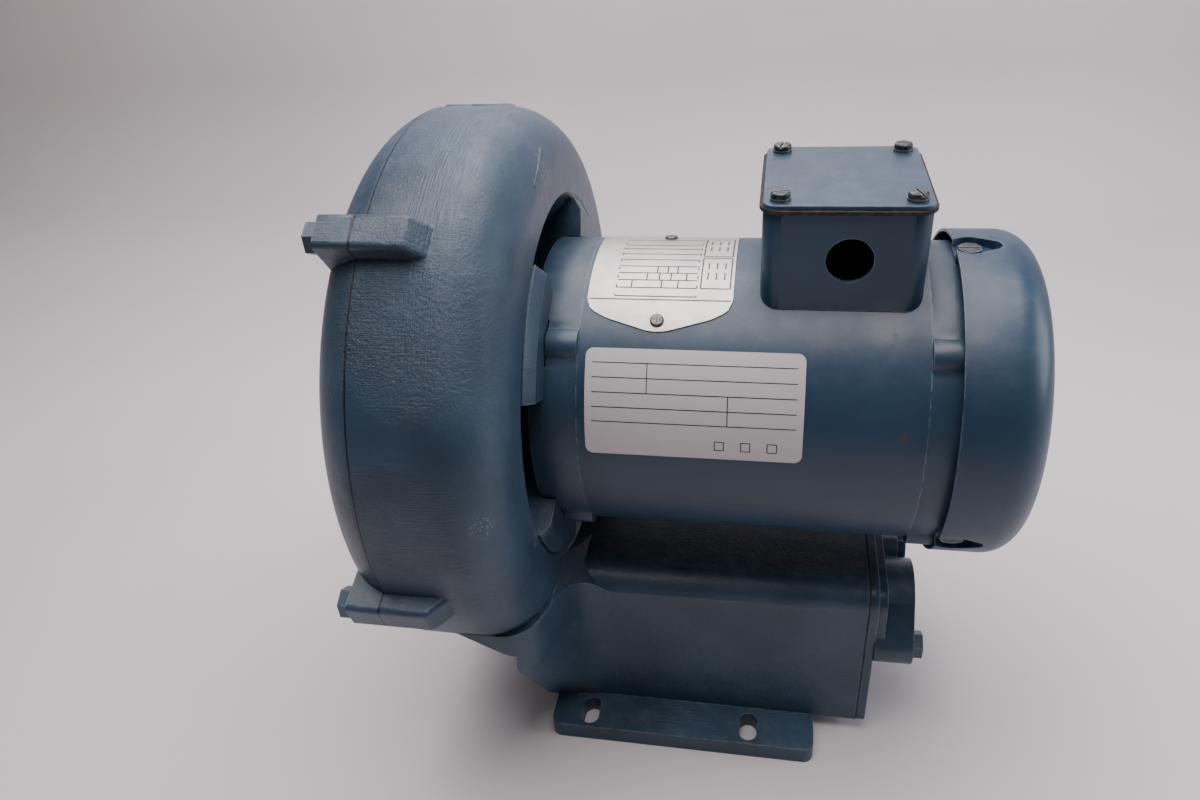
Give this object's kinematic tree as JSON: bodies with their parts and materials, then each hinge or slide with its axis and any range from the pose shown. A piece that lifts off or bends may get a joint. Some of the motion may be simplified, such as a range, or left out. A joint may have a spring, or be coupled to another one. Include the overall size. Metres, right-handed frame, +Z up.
{
  "type": "side-channel blower with fan-cooled motor",
  "caption": "Regenerative side-channel blower: round bladed housing on a silencer box with slotted base, driven by a fan-cooled electric motor with a terminal box on top.",
  "frame": {"origin": "centre of the four foot slots, on the underside of the base", "axes": "+X along the shaft, from the blower to the cooling fan, and out of the two ports; +Z up"},
  "size_m": [0.3442, 0.3174, 0.3776],
  "materials": {
    "painted_casting": "sand-textured casting, semi-gloss blue-grey enamel",
    "painted_steel": "smooth semi-gloss blue-grey enamel",
    "painted_bolt": "steel bolt painted over with the casing",
    "cast_aluminium": "bare casting",
    "bright_aluminium": "thin bright sheet",
    "steel": "machined",
    "bearing_steel": "ground",
    "mesh_steel": "thin sheet",
    "lamination_steel": "stacked sheet",
    "copper_winding": "varnished wire",
    "dark_screw": "black oxide",
    "green_screw": "green earth screw",
    "black_rubber": "moulded",
    "black_plastic": "moulded",
    "label_vinyl": "grey-white vinyl",
    "foam": "open-cell foam"
  },
  "bodies": {
    "frame": {"blower_cover": "painted_casting", "blower_housing": "painted_casting", "blower_mount_nuts": "steel", "box_mount_screws": "dark_screw", "cover_bolts": "painted_bolt", "fan_cover": "painted_steel", "fan_cover_screws": "dark_screw", "front_bearing_outer_race": "bearing_steel", "front_end_bell": "painted_casting", "ground_screw": "green_screw", "junction_box": "painted_steel", "junction_box_cover": "painted_steel", "junction_box_gasket": "black_rubber", "junction_box_screws": "dark_screw", "lead_grommet": "black_rubber", "lock_washers": "dark_screw", "manifold_bolts": "painted_bolt", "manifold_screws": "painted_bolt", "motor_clamp_nuts": "painted_bolt", "motor_shell": "painted_steel", "muffler_end_plate": "painted_casting", "muffler_gasket": "black_rubber", "nameplate": "bright_aluminium", "nameplate_rivets": "bright_aluminium", "port_manifold": "painted_casting", "rear_bearing_outer_race": "bearing_steel", "rear_end_bell": "painted_casting", "shaft_seal": "black_rubber", "silencer_foam_front": "foam", "silencer_foam_rear": "foam", "silencer_tube_front": "mesh_steel", "silencer_tube_rear": "mesh_steel", "spec_label": "label_vinyl", "stator_core": "lamination_steel", "stator_windings": "copper_winding", "through_studs": "steel", "wave_washer": "steel"},
    "rotor": {"motor_shaft": "steel", "rotor_core": "lamination_steel", "impeller": "cast_aluminium", "impeller_key": "steel", "impeller_washer": "steel", "impeller_bolt": "steel", "front_bearing_inner_race": "bearing_steel", "rear_bearing_inner_race": "bearing_steel", "cooling_fan": "black_plastic", "fan_clip": "steel"},
    "front_ball_set": {"front_bearing_balls": "bearing_steel", "front_bearing_cage": "mesh_steel"},
    "rear_ball_set": {"rear_bearing_balls": "bearing_steel", "rear_bearing_cage": "mesh_steel"}
  },
  "joints": [
    {"name": "rotor_spin", "type": "hinge", "parent": "frame", "child": "rotor", "pos_m": [0, 0, 0.2226], "axis": [1, 0, 0], "continuous": true},
    {"name": "front_ball_orbit", "type": "hinge", "parent": "frame", "child": "front_ball_set", "pos_m": [-0.0495, 0, 0.2226], "axis": [1, 0, 0], "continuous": true},
    {"name": "rear_ball_orbit", "type": "hinge", "parent": "frame", "child": "rear_ball_set", "pos_m": [0.14, 0, 0.2226], "axis": [1, 0, 0], "continuous": true}
  ],
  "couplings": [
    {"joint": "front_ball_orbit", "follows": "rotor_spin", "ratio": 0.3969},
    {"joint": "rear_ball_orbit", "follows": "rotor_spin", "ratio": 0.3877}
  ]
}
